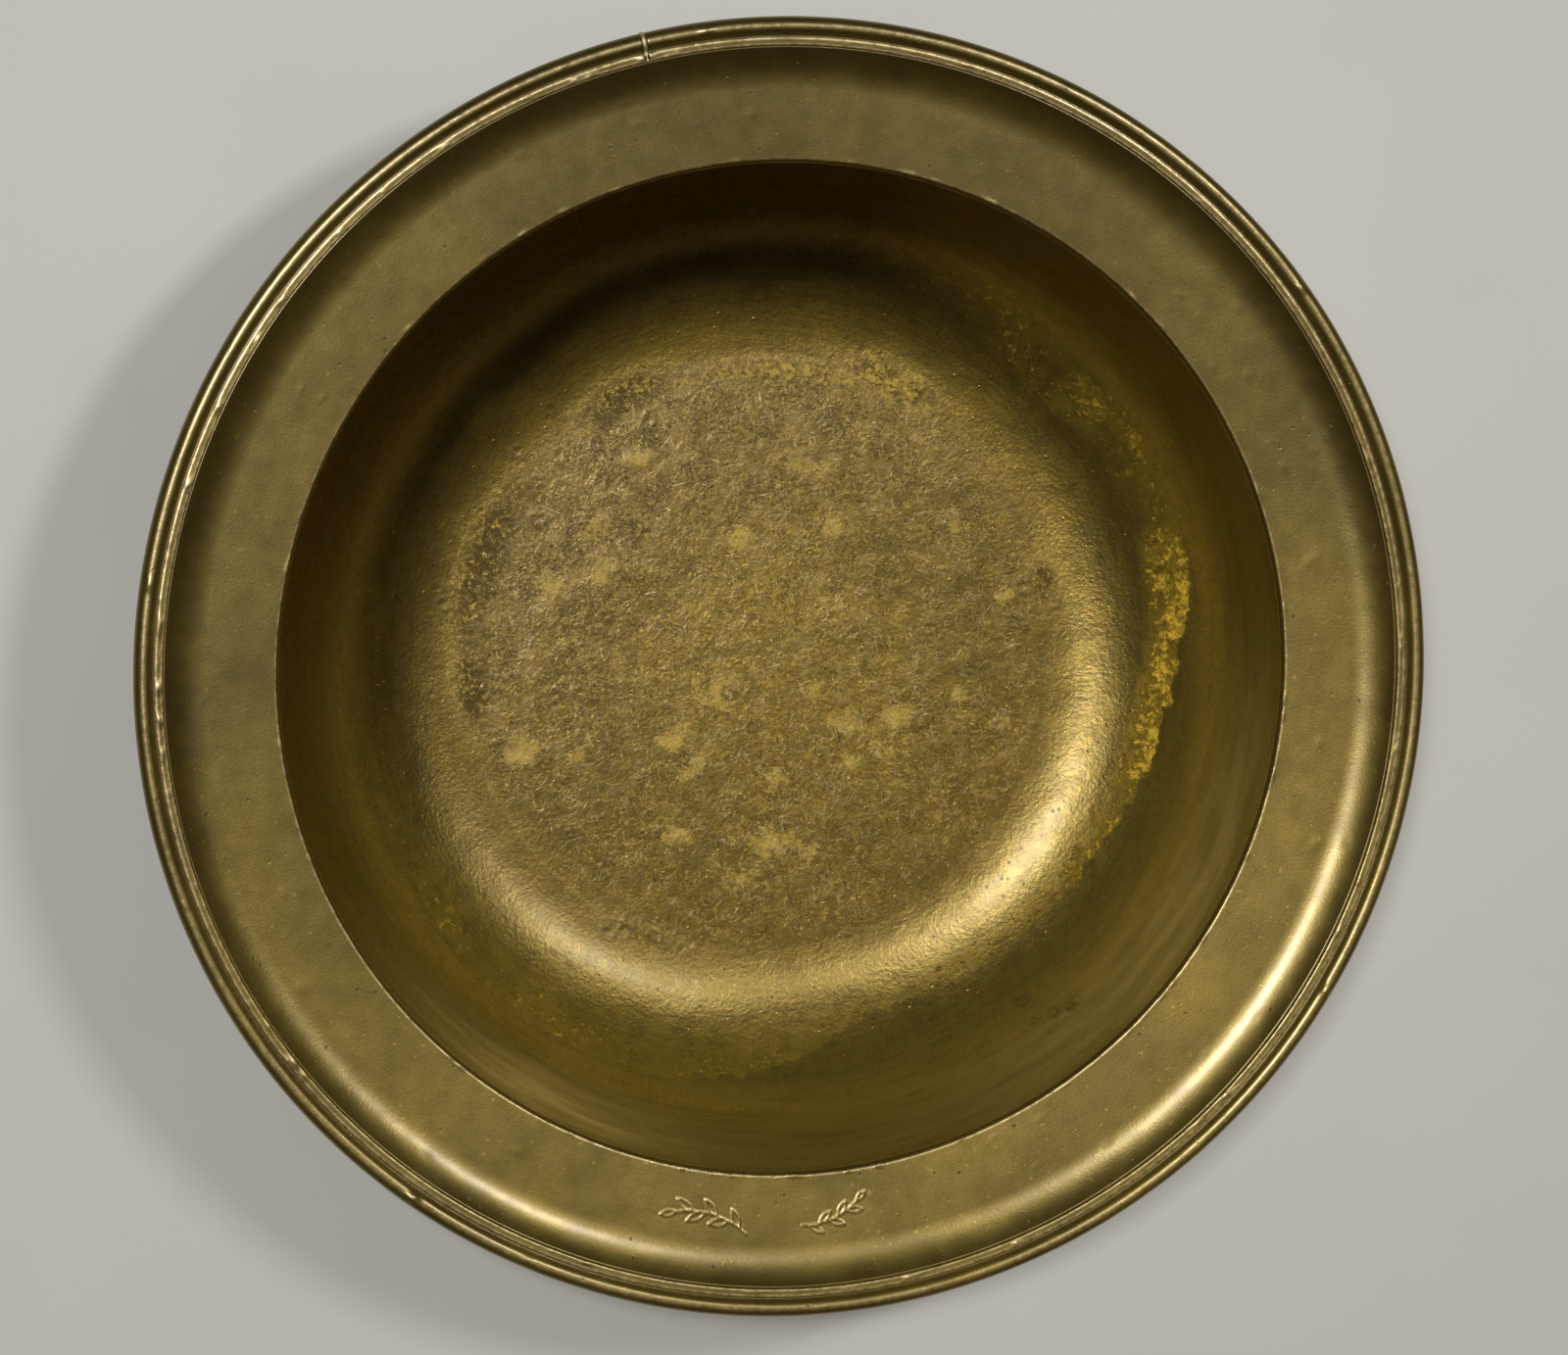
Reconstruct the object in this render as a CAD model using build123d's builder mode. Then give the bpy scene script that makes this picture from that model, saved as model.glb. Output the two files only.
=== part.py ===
from build123d import *
import math
import os

# Broad-rimmed pewter shaving bowl, in millimetres. +Z is up along the turning axis, and the
# origin is on the table at the middle of the foot. Every piece is a turned ring or shell, so
# each is one profile, drawn as (radius, height), revolved about +Z.

# ---- Driving dimensions ----
overall_diameter = 280.0        # across the edge moulding
overall_height = 56.0           # table to the crown of the edge bead

rim_width = 29.7                # from the sharp inner edge of the flange to the outside
rim_rise = 8.2                  # inner edge of the flange up to the crown of the bead
flange_thickness = 2.0
flange_slope = 7.0              # degrees, the nearly flat inner part of the flange
cavetto_width = 8.5             # hollow curve that sweeps up to the edge moulding

bead_diameter = 4.0             # round outer bead of the edge moulding
bead_stand = 2.2                # crown of the bead above the inner foot of the ridge
bead_groove_angle = 170.0       # degrees round the bead, from outward, where its groove starts
ridge_width = 1.6               # fine raised ridge inside the bead, with its groove
ridge_stand = 0.75              # ridge above its inner foot
ridge_flank_run = 0.15          # inner flank of the ridge, as a share of its width
ridge_flank_climb = 0.8         # the same flank, as a share of its height
groove_width = 0.6              # top of the ridge to the bead
moulding_seat_depth = 0.8       # rebate in the flange that takes the moulding
moulding_seat_width = 2.6
moulding_joint_gap = 0.6        # solder-filled gap where the ends of the moulding meet
moulding_joint_azimuth = 103.6  # degrees from +X

well_thickness = 2.2            # floor, bouge and wall
bouge_radius = 42.0             # inside curve between floor and wall
wall_angle = 71.0               # degrees above horizontal
wall_seat_depth = 1.3           # inner edge of the flange down to the top of the wall

foot_height = 3.6
foot_inset = 0.5                # foot stands in from where the bouge starts
foot_top_width = 4.2
foot_splay = 0.5                # foot grows outward towards the table
foot_edge_break = 0.6           # bevel of the foot where it meets the table

rim_seam_leg = 2.4              # solder fillet between wall and flange
foot_seam_leg = 1.8             # solder fillet inside the foot
edge_seam_width = 2.2           # solder run under the edge moulding, scraped flat
edge_seam_height = 0.6
edge_seam_bevel = 0.5           # how far the run slopes in at its two edges

# ---- Derived places ----
outer_radius = overall_diameter / 2
arris_radius = outer_radius - rim_width
arris_height = overall_height - rim_rise

slope_run = math.cos(math.radians(flange_slope))
slope_climb = math.sin(math.radians(flange_slope))
wall_run = math.cos(math.radians(wall_angle))
wall_climb = math.sin(math.radians(wall_angle))

floor_top = foot_height + well_thickness
bouge_top = floor_top + bouge_radius * (1 - wall_run)
wall_foot_radius = arris_radius - (arris_height - bouge_top) * wall_run / wall_climb
floor_radius = wall_foot_radius - bouge_radius * wall_climb
bouge_centre_height = floor_top + bouge_radius

bead_radius = bead_diameter / 2
bead_centre = (outer_radius - bead_radius, overall_height - bead_radius)
groove_radius = bead_centre[0] - bead_radius
ridge_radius = groove_radius - groove_width - ridge_width
ridge_foot = (ridge_radius, overall_height - bead_stand)
moulding_seat_top = ridge_foot[1] - moulding_seat_depth
moulding_seat_radius = ridge_radius + moulding_seat_width
edge_bottom = moulding_seat_top - flange_thickness

cavetto_start_radius = ridge_radius - cavetto_width
cavetto_start = (
    cavetto_start_radius,
    arris_height + (cavetto_start_radius - arris_radius) * slope_climb / slope_run,
)
under_cavetto = (
    cavetto_start[0] + flange_thickness * slope_climb,
    cavetto_start[1] - flange_thickness * slope_run,
)

# The wall stands in a rebate under the inner edge of the flange.
seat_height = arris_height - wall_seat_depth
seat_inner = arris_radius - wall_seat_depth * wall_run / wall_climb
seat_outer = seat_inner + well_thickness / wall_climb

# Corner under the flange where its lower face meets the outside of the wall.
wall_steepness = wall_climb / wall_run
flange_steepness = slope_climb / slope_run
corner_radius = (
    under_cavetto[1] - flange_steepness * under_cavetto[0]
    - seat_height + wall_steepness * seat_outer
) / (wall_steepness - flange_steepness)
corner = (corner_radius, seat_height - wall_steepness * (seat_outer - corner_radius))

foot_outer = floor_radius - foot_inset
foot_inner = foot_outer - foot_top_width


def on_bead(degrees):
    """Point of the bead at this angle, measured from outward towards up."""
    return (
        bead_centre[0] + bead_radius * math.cos(math.radians(degrees)),
        bead_centre[1] + bead_radius * math.sin(math.radians(degrees)),
    )


# ---- Well of the bowl: floor, bouge and wall in one shell ----
with BuildPart() as bowl_body:
    with BuildSketch(Plane.XZ):
        with BuildLine():
            inner_floor = Line((0, floor_top), (floor_radius, floor_top))
            inner_bouge = TangentArc(
                inner_floor @ 1, (wall_foot_radius, bouge_top), tangent=(1, 0)
            )
            Line(inner_bouge @ 1, (seat_inner, seat_height))
            Line((seat_inner, seat_height), (seat_outer, seat_height))
            outer_bouge_top = (
                floor_radius + (bouge_radius + well_thickness) * wall_climb,
                bouge_centre_height - (bouge_radius + well_thickness) * wall_run,
            )
            Line((seat_outer, seat_height), outer_bouge_top)
            TangentArc(
                (floor_radius, foot_height), outer_bouge_top, tangent=(1, 0)
            )
            Line((floor_radius, foot_height), (0, foot_height))
            Line((0, foot_height), (0, floor_top))
        make_face()
    revolve(axis=Axis.Z)

# ---- Broad flange: nearly flat, then a hollow curve up to the edge ----
with BuildPart() as rim_flange:
    with BuildSketch(Plane.XZ):
        with BuildLine():
            Line((seat_inner, seat_height), (arris_radius, arris_height))
            Line((arris_radius, arris_height), cavetto_start)
            TangentArc(cavetto_start, ridge_foot, tangent=(slope_run, slope_climb))
            Polyline(
                ridge_foot,
                (ridge_radius, moulding_seat_top),
                (moulding_seat_radius, moulding_seat_top),
                (moulding_seat_radius, edge_bottom),
                (ridge_radius, edge_bottom),
            )
            TangentArc(
                under_cavetto, (ridge_radius, edge_bottom), tangent=(slope_run, slope_climb)
            )
            Line(under_cavetto, corner)
            Polyline(corner, (seat_outer, seat_height), (seat_inner, seat_height))
        make_face()
    revolve(axis=Axis.Z)


# ---- Section of the edge moulding: ridge, groove and bead, seated on the flange ----
with BuildSketch() as moulding_section:
    flank_top = (
        ridge_radius + ridge_flank_run * ridge_width,
        ridge_foot[1] + ridge_flank_climb * ridge_stand,
    )
    bead_start = on_bead(bead_groove_angle)
    bead_side = on_bead(0)
    under_bead = (moulding_seat_radius + bead_radius, edge_bottom)
    with BuildLine():
        Polyline(
            (ridge_radius, moulding_seat_top),
            ridge_foot,
            flank_top,
            (ridge_radius + ridge_width, ridge_foot[1] + ridge_stand),
            bead_start,
        )
        ThreePointArc(bead_start, on_bead(bead_groove_angle / 2), bead_side)
        TangentArc(bead_side, under_bead, tangent=(0, -1))
        Polyline(
            under_bead,
            (moulding_seat_radius, edge_bottom),
            (moulding_seat_radius, moulding_seat_top),
            (ridge_radius, moulding_seat_top),
        )
    make_face()

# ---- Edge moulding: a strip bent round the flange, its ends meeting at a soldered joint ----
joint_angle = math.degrees(moulding_joint_gap / moulding_seat_radius)
joint_side = Plane.XZ.rotated((0, 0, moulding_joint_azimuth - joint_angle / 2))
strip_start = Plane.XZ.rotated((0, 0, moulding_joint_azimuth + joint_angle / 2))

with BuildPart() as edge_moulding:
    with BuildSketch(strip_start):
        add(moulding_section.sketch)
    revolve(axis=Axis.Z, revolution_arc=360 - joint_angle)

with BuildPart() as edge_joint_solder:
    with BuildSketch(joint_side):
        add(moulding_section.sketch)
    revolve(axis=Axis.Z, revolution_arc=joint_angle)

# ---- Foot ring: low, slightly splayed, soldered under the floor ----
with BuildPart() as foot_ring:
    with BuildSketch(Plane.XZ):
        with BuildLine():
            Polyline(
                (foot_inner, foot_height),
                (foot_inner, foot_edge_break),
                (foot_inner + foot_edge_break, 0),
                (foot_outer + foot_splay - foot_edge_break, 0),
                (foot_outer + foot_splay, foot_edge_break),
                (foot_outer, foot_height),
                close=True,
            )
        make_face()
    revolve(axis=Axis.Z)


# ---- Solder ----
with BuildPart() as rim_solder_seam:
    on_wall = (corner[0] - rim_seam_leg * wall_run, corner[1] - rim_seam_leg * wall_climb)
    on_flange = (corner[0] + rim_seam_leg * slope_run, corner[1] + rim_seam_leg * slope_climb)
    with BuildSketch(Plane.XZ):
        with BuildLine():
            Polyline(corner, on_wall, on_flange, close=True)
        make_face()
    revolve(axis=Axis.Z)

with BuildPart() as edge_solder_seam:
    run_inner = moulding_seat_radius - edge_seam_width / 2
    run_outer = moulding_seat_radius + edge_seam_width / 2
    run_bottom = edge_bottom - edge_seam_height
    with BuildSketch(Plane.XZ):
        with BuildLine():
            Polyline(
                (run_inner, edge_bottom),
                (run_outer, edge_bottom),
                (run_outer - edge_seam_bevel, run_bottom),
                (run_inner + edge_seam_bevel, run_bottom),
                close=True,
            )
        make_face()
    revolve(axis=Axis.Z)

with BuildPart() as foot_solder_seam:
    with BuildSketch(Plane.XZ):
        with BuildLine():
            Polyline(
                (foot_inner, foot_height),
                (foot_inner - foot_seam_leg, foot_height),
                (foot_inner, foot_height - foot_seam_leg),
                close=True,
            )
        make_face()
    revolve(axis=Axis.Z)

# ---- Labels and files ----
bowl_body.part.label = "bowl_body"
rim_flange.part.label = "rim_flange"
edge_moulding.part.label = "edge_moulding"
edge_joint_solder.part.label = "edge_joint_solder"
foot_ring.part.label = "foot_ring"
rim_solder_seam.part.label = "rim_solder_seam"
edge_solder_seam.part.label = "edge_solder_seam"
foot_solder_seam.part.label = "foot_solder_seam"

os.makedirs("parts", exist_ok=True)
export_step(bowl_body.part, "parts/bowl_body.step")
export_step(rim_flange.part, "parts/rim_flange.step")
export_step(edge_moulding.part, "parts/edge_moulding.step")
export_step(edge_joint_solder.part, "parts/edge_joint_solder.step")
export_step(foot_ring.part, "parts/foot_ring.step")
export_step(rim_solder_seam.part, "parts/rim_solder_seam.step")
export_step(edge_solder_seam.part, "parts/edge_solder_seam.step")
export_step(foot_solder_seam.part, "parts/foot_solder_seam.step")
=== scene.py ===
import itertools
import math

import bpy
import numpy as np
from mathutils import Matrix, Vector


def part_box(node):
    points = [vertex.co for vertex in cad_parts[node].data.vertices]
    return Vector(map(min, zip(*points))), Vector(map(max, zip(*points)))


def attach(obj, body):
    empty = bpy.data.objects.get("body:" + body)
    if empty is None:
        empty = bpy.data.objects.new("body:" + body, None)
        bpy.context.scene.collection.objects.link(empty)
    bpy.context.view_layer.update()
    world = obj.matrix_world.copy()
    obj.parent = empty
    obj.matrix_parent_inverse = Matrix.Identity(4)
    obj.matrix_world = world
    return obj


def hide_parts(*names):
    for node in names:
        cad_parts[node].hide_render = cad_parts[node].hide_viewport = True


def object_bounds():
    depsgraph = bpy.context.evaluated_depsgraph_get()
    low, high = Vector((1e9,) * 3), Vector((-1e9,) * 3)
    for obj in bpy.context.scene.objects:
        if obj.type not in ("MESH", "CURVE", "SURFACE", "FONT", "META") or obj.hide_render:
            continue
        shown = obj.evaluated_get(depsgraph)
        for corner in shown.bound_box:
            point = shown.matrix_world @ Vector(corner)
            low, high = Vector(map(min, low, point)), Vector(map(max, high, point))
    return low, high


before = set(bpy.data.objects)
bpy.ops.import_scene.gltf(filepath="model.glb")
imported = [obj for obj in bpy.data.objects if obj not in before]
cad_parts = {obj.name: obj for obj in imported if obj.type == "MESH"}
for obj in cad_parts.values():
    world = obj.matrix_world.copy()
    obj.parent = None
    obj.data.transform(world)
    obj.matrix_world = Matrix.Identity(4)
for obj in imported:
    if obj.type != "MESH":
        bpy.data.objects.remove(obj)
cad_low, cad_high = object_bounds()

# ---------------------------------------------------------------- sizes, in millimetres
MM = 0.001


def high(node):
    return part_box(node)[1] / MM


def low(node):
    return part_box(node)[0] / MM


well_thickness = 2.2
bouge_radius = 42.0
wall_angle = math.radians(71)
wall_seat_depth = 1.3
flange_thickness = 2.0
flange_slope = math.radians(7)
cavetto_width = 8.5
bead_diameter = 4.0
bead_stand = 2.2
bead_groove_angle = math.radians(170)   # round the bead, from outward, where its groove starts
ridge_width = 1.6
ridge_stand = 0.75
ridge_flank_run = 0.15                  # inner flank of the ridge, as a share of its width
ridge_flank_climb = 0.8                 # the same flank, as a share of its height
moulding_seat_width = 2.6
moulding_joint = math.radians(103.6)
moulding_joint_gap = 0.6
foot_inset = 0.5
foot_top_width = 4.2
foot_splay = 0.5
foot_edge_round = 0.6
rim_seam_leg = 2.4
foot_seam_leg = 1.8
edge_seam_width = 2.2
edge_seam_bevel = 0.5

outer_radius = cad_high.x / MM
overall_height = cad_high.z / MM
foot_height = high("foot_ring").z
floor_top = foot_height + well_thickness
seat_height = high("bowl_body").z
seat_outer = high("bowl_body").x
seat_inner = seat_outer - well_thickness / math.sin(wall_angle)
arris_height = seat_height + wall_seat_depth
arris_radius = seat_inner + wall_seat_depth / math.tan(wall_angle)
bouge_top = floor_top + bouge_radius * (1 - math.cos(wall_angle))
wall_foot = arris_radius - (arris_height - bouge_top) / math.tan(wall_angle)
floor_radius = wall_foot - bouge_radius * math.sin(wall_angle)

bead_radius = bead_diameter / 2
bead_centre = np.array((outer_radius - bead_radius, overall_height - bead_radius))
edge_bottom = low("edge_moulding").z
moulding_seat_top = edge_bottom + flange_thickness
moulding_seat_radius = high("rim_flange").x
ridge_foot = np.array((moulding_seat_radius - moulding_seat_width, overall_height - bead_stand))
cavetto_start = np.array((ridge_foot[0] - cavetto_width, 0.0))
cavetto_start[1] = arris_height + (cavetto_start[0] - arris_radius) * math.tan(flange_slope)

# ---------------------------------------------------------------- noise and sections


def value_noise(points, seed):
    """Smooth noise from -1 to 1, one value a cell, at points given in cells."""
    cell = np.floor(points).astype(np.int64)
    part = points - cell
    part = part * part * (3 - 2 * part)
    total = np.zeros(len(points))
    for corner in itertools.product((0, 1), repeat=3):
        at = cell + np.array(corner)
        mixed = (at[:, 0] * 73856093) ^ (at[:, 1] * 19349663) ^ (at[:, 2] * 83492791)
        mixed ^= seed * 2654435761
        mixed = ((mixed ^ (mixed >> 13)) * 1274126177) & 0x7FFFFFFF
        mixed = ((mixed ^ (mixed >> 15)) * 2246822519) & 0x7FFFFFFF
        weight = np.prod(np.where(corner, part, 1 - part), axis=1)
        total += weight * (mixed / 0x3FFFFFFF - 1)
    return total


def fractal(points, size, seed, octaves=3):
    """Layers of noise, the largest of this size in millimetres."""
    layers = [
        value_noise(points / size * 2**n, seed + n) / 2**n for n in range(octaves)
    ]
    return sum(layers) / 1.5


def line(start, end, step):
    """Points from start to just before end."""
    start, end = np.array(start, float), np.array(end, float)
    count = max(1, round(np.linalg.norm(end - start) / step))
    return start + (end - start) * np.arange(count)[:, None] / count


def arc(centre, radius, first, last, step):
    """Points of an arc from one angle to just before another, in radians."""
    count = max(2, round(abs(last - first) * radius / step))
    at = first + (last - first) * np.arange(count) / count
    return np.array(centre) + radius * np.c_[np.cos(at), np.sin(at)]


def tangent_arc(start, end, direction, step):
    """Points of the arc that leaves start in this direction and reaches end."""
    start, end = np.array(start, float), np.array(end, float)
    side = np.array((-direction[1], direction[0]))
    chord = end - start
    radius = chord @ chord / (2 * chord @ side)
    centre = start + radius * side
    first = math.atan2(*(start - centre)[::-1])
    turn = 2 * math.atan2(chord @ side, chord @ np.array(direction))
    return arc(centre, abs(radius), first, first + turn, step)


def smooth(value, start, end):
    """0 at start, 1 at end, with a smooth step between."""
    t = np.clip((value - start) / (end - start), 0, 1)
    return t * t * (3 - 2 * t)


def degrees_from(azimuth, at):
    """Signed degrees from an azimuth in degrees to each of these in radians."""
    return (np.degrees(azimuth) - at + 180) % 360 - 180


def bump(distance, width):
    """1 at no distance, falling smoothly to 0 at this width."""
    return 1 - smooth(distance, 0, width)


# ---------------------------------------------------------------- turned meshes


def mesh_object(name, points, faces):
    mesh = bpy.data.meshes.new(name)
    mesh.from_pydata((points * MM).tolist(), [], faces)
    mesh.polygons.foreach_set("use_smooth", [True] * len(mesh.polygons))
    mesh.update()
    piece = bpy.data.objects.new(name, mesh)
    bpy.context.collection.objects.link(piece)
    return piece


def set_points(piece, points):
    piece.data.vertices.foreach_set("co", (points * MM).ravel())
    piece.data.update()


def normals(piece):
    found = np.empty(len(piece.data.vertices) * 3)
    piece.data.vertex_normals.foreach_get("vector", found)
    return found.reshape(-1, 3)


def field(piece, name, values):
    """Stores one number a vertex, for the material to read."""
    layer = piece.data.attributes.new(name, "FLOAT", "POINT")
    layer.data.foreach_set("value", np.asarray(values, np.float32))


def ring(name, section, azimuths, whole=True):
    """A closed section turned about +Z. Returns the piece, its points and each point's azimuth."""
    rows, columns = len(azimuths), len(section)
    angle = np.repeat(azimuths, columns)
    radius, height = np.tile(section, (rows, 1)).T
    points = np.c_[radius * np.cos(angle), radius * np.sin(angle), height]
    row = np.arange(rows if whole else rows - 1)[:, None]
    column = np.arange(columns)[None, :]
    corners = [
        ((row + a) % rows) * columns + (column + b) % columns
        for a, b in ((0, 0), (1, 0), (1, 1), (0, 1))
    ]
    faces = np.stack(corners, -1).reshape(-1, 4).tolist()
    if not whole:
        faces.append(list(range(columns)))
        faces.append(list(range(rows * columns - 1, (rows - 1) * columns - 1, -1)))
    return mesh_object(name, points, faces), points, angle


def disc_grid(rings):
    """Square grid wrapped into circles: (ring, azimuth) of each point, and its four-sided faces."""
    i, j = np.meshgrid(np.arange(-rings, rings + 1), np.arange(-rings, rings + 1), indexing="ij")
    i, j = i.ravel(), j.ravel()
    k = np.maximum(abs(i), abs(j))
    safe = np.maximum(k, 1)
    quarter = math.pi / 4
    azimuth = np.where(
        abs(i) >= abs(j),
        quarter * j / np.where(i == 0, safe, i) + np.where(i < 0, math.pi, 0),
        math.pi / 2 - quarter * i / np.where(j == 0, safe, j) + np.where(j < 0, math.pi, 0),
    )
    side = 2 * rings + 1
    a, b = np.meshgrid(np.arange(side - 1), np.arange(side - 1), indexing="ij")
    first = (a * side + b).ravel()
    return k, azimuth, np.c_[first, first + side, first + side + 1, first + 1]


def turned_shell(name, section, disc_rings):
    """A closed shell that crosses the axis at both ends of its section, from the top of the
    floor to its underside. The first and last disc_rings + 1 points are the two floors.
    Returns the piece, its points, each point's azimuth, and its place along the section."""
    k, azimuth, quads = disc_grid(disc_rings)
    count = len(k)
    rim = np.flatnonzero(k == disc_rings)
    rim = rim[np.argsort(azimuth[rim] % (2 * math.pi))]
    top = section[: disc_rings + 1]
    under = section[::-1][: disc_rings + 1]
    wall = section[disc_rings + 1 : len(section) - disc_rings - 1]
    turns = azimuth[rim]
    profile = np.r_[top[k], np.repeat(wall, len(rim), axis=0), under[k]]
    angle = np.r_[azimuth, np.tile(turns, len(wall)), azimuth]
    points = np.c_[profile[:, 0] * np.cos(angle), profile[:, 0] * np.sin(angle), profile[:, 1]]
    loops = [rim]
    loops += [count + n * len(rim) + np.arange(len(rim)) for n in range(len(wall))]
    under_start = count + len(wall) * len(rim)
    loops.append(under_start + rim)
    faces = [quads]
    for inner, outer in zip(loops, loops[1:]):
        faces.append(np.c_[inner, outer, np.roll(outer, -1), np.roll(inner, -1)])
    faces.append((under_start + quads)[:, ::-1])
    wall_index = np.repeat(np.arange(len(wall)) + disc_rings + 1, len(rim))
    index = np.r_[k, wall_index, len(section) - 1 - k]
    return mesh_object(name, points, np.concatenate(faces).tolist()), points, angle, index


def along(section):
    """Length along a section up to each of its points."""
    return np.r_[0, np.cumsum(np.hypot(*np.diff(section, axis=0).T))]


def stand_for(piece, node, material):
    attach(piece, "root")
    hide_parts(node)
    piece.data.materials.append(material)


# ---------------------------------------------------------------- materials


class Nodes:
    """One material's node tree. Lengths are in millimetres, and calls return sockets."""

    def __init__(self, name):
        self.material = bpy.data.materials.new(name)
        self.material.use_nodes = True
        self.tree = self.material.node_tree
        self.tree.nodes.clear()
        place = self.make("ShaderNodeTexCoord").outputs["Object"]
        self.place = self.vector("SCALE", place, scale=1 / MM)
        x, y, z = self.make("ShaderNodeSeparateXYZ", {0: self.place}).outputs
        self.flat = self.make("ShaderNodeCombineXYZ", {0: x, 1: y}).outputs[0]
        self.height = z
        self.radius = self.vector("LENGTH", self.flat)

    def make(self, kind, inputs=None, **settings):
        node = self.tree.nodes.new(kind)
        for key, value in settings.items():
            setattr(node, key, value)
        for key, value in (inputs or {}).items():
            if isinstance(value, bpy.types.NodeSocket):
                self.tree.links.new(value, node.inputs[key])
            else:
                node.inputs[key].default_value = value
        return node

    def vector(self, operation, a, b=(0, 0, 0), scale=1.0):
        inputs = {0: a, 1: b}
        if operation == "SCALE":
            inputs = {0: a, "Scale": scale}
        node = self.make("ShaderNodeVectorMath", inputs, operation=operation)
        return node.outputs["Value" if operation == "LENGTH" else "Vector"]

    def math(self, operation, a, b=0.0, clamp=False):
        inputs = {0: a, 1: b}
        return self.make("ShaderNodeMath", inputs, operation=operation, use_clamp=clamp).outputs[0]

    def noise(self, size, detail=2.0, roughness=0.5, distortion=0.0, place=None):
        """Noise with features of this size."""
        inputs = {
            "Vector": place or self.place,
            "Scale": 1 / size,
            "Detail": detail,
            "Roughness": roughness,
            "Distortion": distortion,
        }
        return self.make("ShaderNodeTexNoise", inputs).outputs["Fac"]

    def turned(self, size, detail=2.0):
        """Fine rings left by turning, by distance from the axis and height."""
        across = self.math("ADD", self.radius, self.height)
        inputs = {"W": across, "Scale": 1 / size, "Detail": detail}
        return self.make("ShaderNodeTexNoise", inputs, noise_dimensions="1D").outputs["Fac"]

    def streaks(self, length, size, detail=3.0):
        """Noise drawn out round the axis, for metal rubbed as it turned."""
        way = self.vector("NORMALIZE", self.flat)
        way = self.vector("SCALE", way, scale=outer_radius / length)
        across = self.math("DIVIDE", self.math("ADD", self.radius, self.height), size)
        lift = self.make("ShaderNodeCombineXYZ", {2: across}).outputs[0]
        return self.noise(1.0, detail, place=self.vector("ADD", way, lift))

    def times(self, first, *others):
        for each in others:
            first = self.math("MULTIPLY", first, each)
        return first

    def plus(self, first, *others):
        for each in others:
            first = self.math("ADD", first, each)
        return first

    def worms(self, size, width, distortion=1.0):
        """Thin winding lines, 1 along their middle."""
        off = self.math("SUBTRACT", self.noise(size, 2, 0.5, distortion), 0.5)
        return self.step(self.math("ABSOLUTE", off), 0, width, 1, 0)

    def cells(self, size):
        """Distance to the nearest of many scattered points, this far apart."""
        inputs = {"Vector": self.place, "Scale": 1 / size}
        return self.make("ShaderNodeTexVoronoi", inputs).outputs["Distance"]

    def step(self, value, start, end, first=0.0, last=1.0):
        """Smooth step from first to last as value goes from start to end."""
        inputs = {
            "Value": value, "From Min": start, "From Max": end, "To Min": first, "To Max": last,
        }
        return self.make("ShaderNodeMapRange", inputs, interpolation_type="SMOOTHSTEP").outputs[0]

    def blend(self, amount, a, b):
        """Mixes two numbers."""
        inputs = {0: amount, 2: a, 3: b}
        return self.make("ShaderNodeMix", inputs, data_type="FLOAT").outputs[0]

    def colour(self, amount, a, b):
        """Mixes two colours."""
        a, b = ((*c, 1.0) if isinstance(c, tuple) else c for c in (a, b))
        inputs = {0: amount, 6: a, 7: b}
        return self.make("ShaderNodeMix", inputs, data_type="RGBA").outputs[2]

    def field(self, name):
        return self.make("ShaderNodeAttribute", attribute_name=name).outputs["Fac"]

    def scratches(self, turn, size, length, amount):
        """Short straight scratches all in one direction."""
        inputs = {"Vector": self.place, "Rotation": (0.0, 0.0, turn)}
        turned = self.make("ShaderNodeMapping", inputs).outputs[0]
        stretched = self.vector("MULTIPLY", turned, (1 / length, 1 / size, 1 / length))
        streaks = self.noise(1.0, 0.0, place=stretched)
        return self.step(streaks, 1 - amount, 1 - amount + 0.03)

    def finish(self, base, metallic, roughness, relief,
               ior=1.5, brushed=0.0, sheen=(1, 1, 1), polish=0.0):
        """relief is a list of (height, depth in millimetres), from coarse to fine. brushed is how
        far the turning marks stretch the highlights, sheen their colour, and polish a thin
        clear layer whose highlights stay white."""
        normal = None
        for height, depth in relief:
            inputs = {"Height": height, "Distance": depth * MM, "Strength": 1.0}
            if normal:
                inputs["Normal"] = normal
            normal = self.make("ShaderNodeBump", inputs).outputs[0]
        inputs = {
            "Base Color": base,
            "Metallic": metallic,
            "Roughness": roughness,
            "Normal": normal,
            "IOR": ior,
            "Specular Tint": (*sheen, 1.0),
            "Coat Weight": polish,
            "Coat Roughness": POLISH_ROUGHNESS,
        }
        if brushed != 0.0:
            inputs["Anisotropic"] = brushed
            inputs["Anisotropic Rotation"] = BRUSH_ROTATION
            tangent = self.make("ShaderNodeTangent", direction_type="RADIAL", axis="Z")
            inputs["Tangent"] = tangent.outputs[0]
        shader = self.make("ShaderNodeBsdfPrincipled", inputs).outputs[0]
        self.make("ShaderNodeOutputMaterial", {"Surface": shader})
        return self.material


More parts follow.
